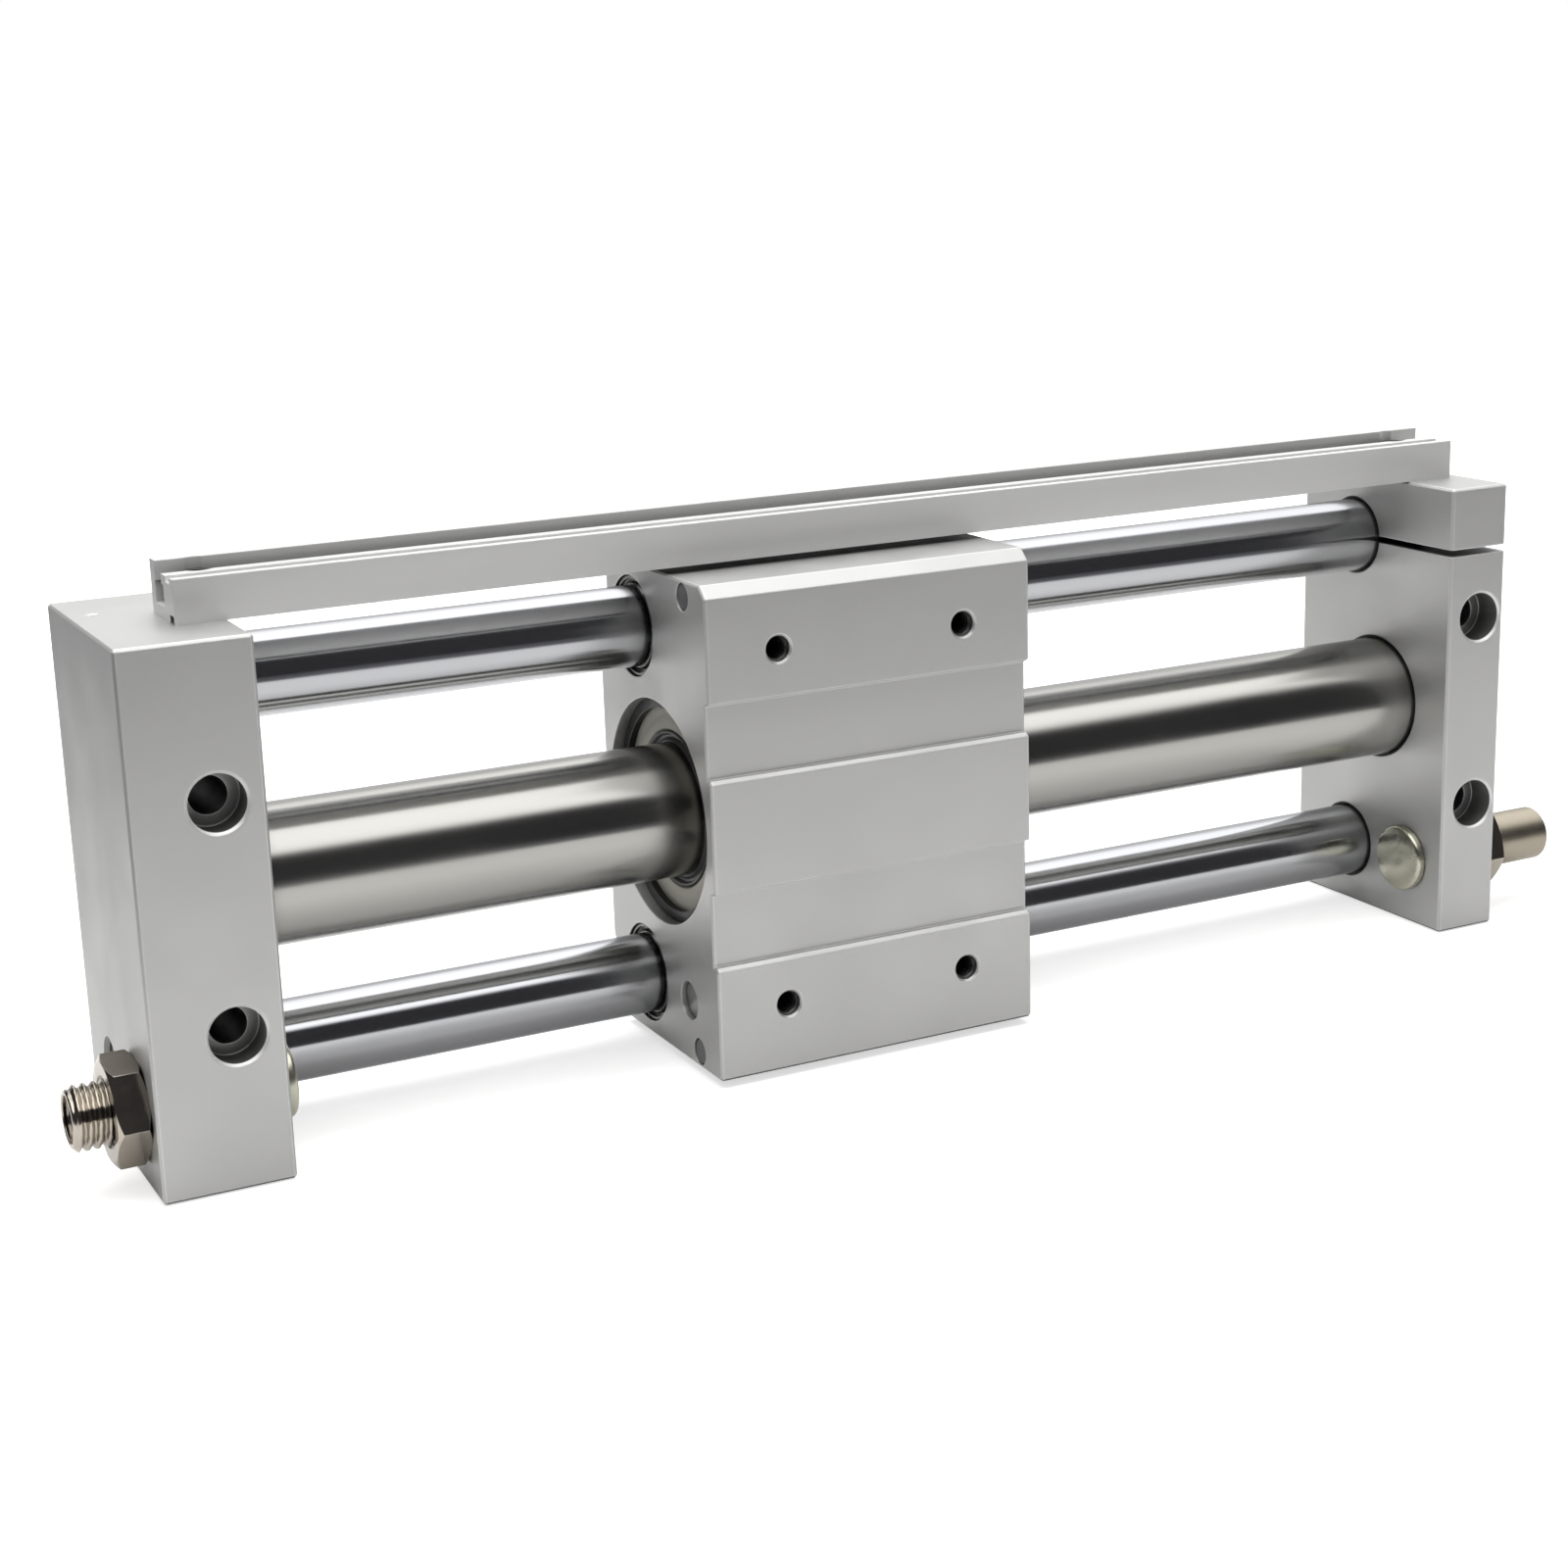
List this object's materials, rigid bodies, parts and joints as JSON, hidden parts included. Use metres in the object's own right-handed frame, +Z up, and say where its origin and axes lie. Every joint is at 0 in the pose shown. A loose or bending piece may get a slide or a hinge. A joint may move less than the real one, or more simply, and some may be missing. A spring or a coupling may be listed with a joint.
{
  "type": "magnetic rodless cylinder",
  "caption": "Magnetically coupled rodless air cylinder: slide table on a tube and guide rods between two end plates, with a sensor rail and adjustable stops.",
  "frame": {"origin": "centre of the overall box, on the plane of the end plates' lower edges", "axes": "+X along the tube from the wide plate to the narrow one, -Y out of the slide table's face, +Z up"},
  "size_m": [0.3354, 0.0512, 0.1087],
  "materials": {
    "blasted_aluminium": "fine blasted, clear anodised",
    "rail_aluminium": "extruded, clear anodised",
    "tube_steel": "drawn stainless tube, satin polish",
    "rod_chrome": "ground and hard chromed",
    "nickel": "bright nickel plate",
    "bumper_nickel": "satin nickel plate",
    "cover_metal": "turned, satin",
    "spring_steel": "blackened spring steel",
    "bearing_steel": "hardened, ground",
    "screw_steel": "zinc plated",
    "yoke_steel": "machined soft iron",
    "magnet": "ground rare-earth magnet",
    "piston_aluminium": "turned",
    "bush_bronze": "oil-filled bronze",
    "seal_case": "thin pressed steel case",
    "seal_rubber": "matt nitrile",
    "scraper_plastic": "pale scraper ring",
    "wear_plastic": "bearing resin"
  },
  "bodies": {
    "frame": {"left_end_plate": "blasted_aluminium", "right_end_plate": "blasted_aluminium", "cylinder_tube": "tube_steel", "upper_guide_rod": "rod_chrome", "lower_guide_rod": "rod_chrome", "left_tube_gasket": "seal_rubber", "right_tube_gasket": "seal_rubber", "sensor_rail": "rail_aluminium", "rail_screws": "screw_steel", "clamp_screw": "screw_steel", "ball_plug": "bearing_steel"},
    "slide_table_body": {"slide_table": "blasted_aluminium", "outer_magnet_sleeve": "yoke_steel", "outer_magnets": "magnet", "outer_yokes": "yoke_steel", "left_side_cover": "cover_metal", "right_side_cover": "cover_metal", "left_retaining_ring": "spring_steel", "right_retaining_ring": "spring_steel", "left_tube_scraper": "scraper_plastic", "right_tube_scraper": "scraper_plastic", "left_tube_wear_ring": "wear_plastic", "right_tube_wear_ring": "wear_plastic", "upper_left_guide_bush": "bush_bronze", "upper_right_guide_bush": "bush_bronze", "lower_left_guide_bush": "bush_bronze", "lower_right_guide_bush": "bush_bronze", "upper_left_rod_seal": "seal_case", "upper_right_rod_seal": "seal_case", "lower_left_rod_seal": "seal_case", "lower_right_rod_seal": "seal_case", "sensor_magnets": "magnet", "left_stop_pad": "bearing_steel", "right_stop_pad": "bearing_steel"},
    "piston_body": {"piston_shaft": "bearing_steel", "inner_magnets": "magnet", "inner_yokes": "yoke_steel", "left_piston": "piston_aluminium", "right_piston": "piston_aluminium", "left_piston_seal": "seal_rubber", "right_piston_seal": "seal_rubber", "left_piston_wear_ring": "wear_plastic", "right_piston_wear_ring": "wear_plastic", "piston_nuts": "nickel"},
    "left_bumper_body": {"left_stop_bumper": "bumper_nickel"},
    "left_bolt_body": {"left_adjusting_bolt": "nickel"},
    "left_nut_body": {"left_lock_nut": "nickel"},
    "right_bumper_body": {"right_stop_bumper": "bumper_nickel"},
    "right_bolt_body": {"right_adjusting_bolt": "nickel"},
    "right_nut_body": {"right_lock_nut": "nickel"}
  },
  "joints": [
    {"name": "table_slide", "type": "slide", "parent": "frame", "child": "slide_table_body", "axis": [1, 0, 0], "range_m": [-0.0789, 0.1039]},
    {"name": "piston_slide", "type": "slide", "parent": "frame", "child": "piston_body", "axis": [1, 0, 0], "range_m": [-0.0789, 0.1039]},
    {"name": "left_bumper_travel", "type": "slide", "parent": "frame", "child": "left_bumper_body", "axis": [1, 0, 0], "range_m": [-0.001, 0.0015]},
    {"name": "left_bolt_turn", "type": "hinge", "parent": "left_bumper_body", "child": "left_bolt_body", "pos_m": [-0.131, -0.012, 0.0145], "axis": [1, 0, 0], "range_deg": [-240, 360]},
    {"name": "left_nut_turn", "type": "hinge", "parent": "frame", "child": "left_nut_body", "pos_m": [-0.158, -0.012, 0.0145], "axis": [1, 0, 0], "range_deg": [-360, 0]},
    {"name": "right_bumper_travel", "type": "slide", "parent": "frame", "child": "right_bumper_body", "axis": [-1, 0, 0], "range_m": [0, 0.0015]},
    {"name": "right_bolt_turn", "type": "hinge", "parent": "right_bumper_body", "child": "right_bolt_body", "pos_m": [0.13, -0.012, 0.0145], "axis": [-1, 0, 0], "range_deg": [0, 360]},
    {"name": "right_nut_turn", "type": "hinge", "parent": "frame", "child": "right_nut_body", "pos_m": [0.148, -0.012, 0.0145], "axis": [-1, 0, 0], "range_deg": [-360, 0]}
  ],
  "couplings": [
    {"joint": "piston_slide", "follows": "table_slide", "ratio": 1}
  ]
}
